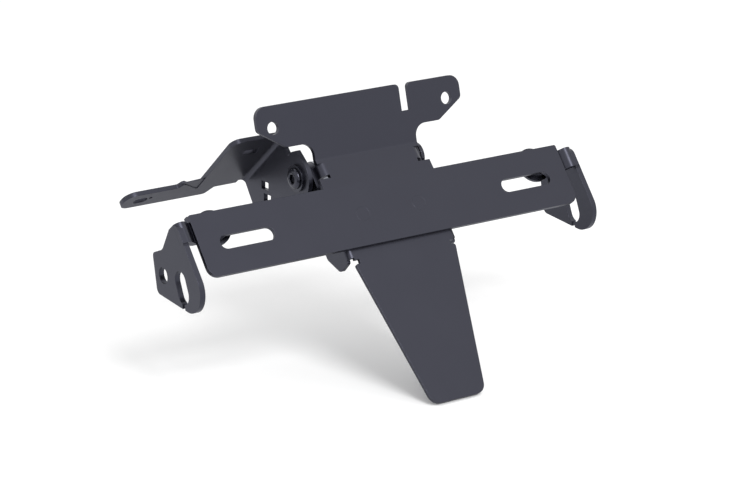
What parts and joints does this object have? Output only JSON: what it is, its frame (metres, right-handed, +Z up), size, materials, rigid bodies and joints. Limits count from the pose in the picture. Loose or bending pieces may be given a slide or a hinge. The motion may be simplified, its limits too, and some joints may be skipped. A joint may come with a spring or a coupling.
{
  "type": "tail tidy",
  "caption": "Folded sheet-steel tail tidy with a slotted crossbar, tapered plate tongue, turn-signal brackets at both ends, a two-hole top flange and one side arm.",
  "frame": {"origin": "midway between the two tail bolt holes, on the face of the top flange that seats on the bike", "axes": "+X to the rider's right, +Y forward along the bike, +Z up as fitted"},
  "size_m": [0.2508, 0.1543, 0.1438],
  "materials": {
    "satin_black": "satin black powder coat on sheet steel",
    "black_steel": "glossy black zinc on fastener steel",
    "zinc_steel": "bright zinc plate",
    "rubber": "matte black rubber"
  },
  "bodies": {
    "root": {"plate_carrier": "satin_black", "rear_bracket": "satin_black", "side_arm": "satin_black", "indicator_bracket_left": "satin_black", "indicator_bracket_right": "satin_black", "pivot_bolt_left": "black_steel", "pivot_bolt_right": "black_steel", "head_washer_left": "black_steel", "head_washer_right": "black_steel", "ear_washer_left": "black_steel", "ear_washer_right": "black_steel", "spacer_ring_left": "rubber", "spacer_ring_right": "rubber", "outer_washer_left": "black_steel", "outer_washer_right": "black_steel", "nut_washer_left": "zinc_steel", "nut_washer_right": "zinc_steel", "pivot_nut_left": "zinc_steel", "pivot_nut_right": "zinc_steel", "clinch_stud_left": "satin_black", "clinch_stud_right": "satin_black", "stud_washer_left": "zinc_steel", "stud_washer_right": "zinc_steel", "stud_nut_left": "zinc_steel", "stud_nut_right": "zinc_steel", "strap_stud_left": "satin_black", "strap_stud_right": "satin_black", "strap_washer_left": "black_steel", "strap_washer_right": "black_steel", "strap_nut_left": "black_steel", "strap_nut_right": "black_steel"}
  },
  "joints": []
}
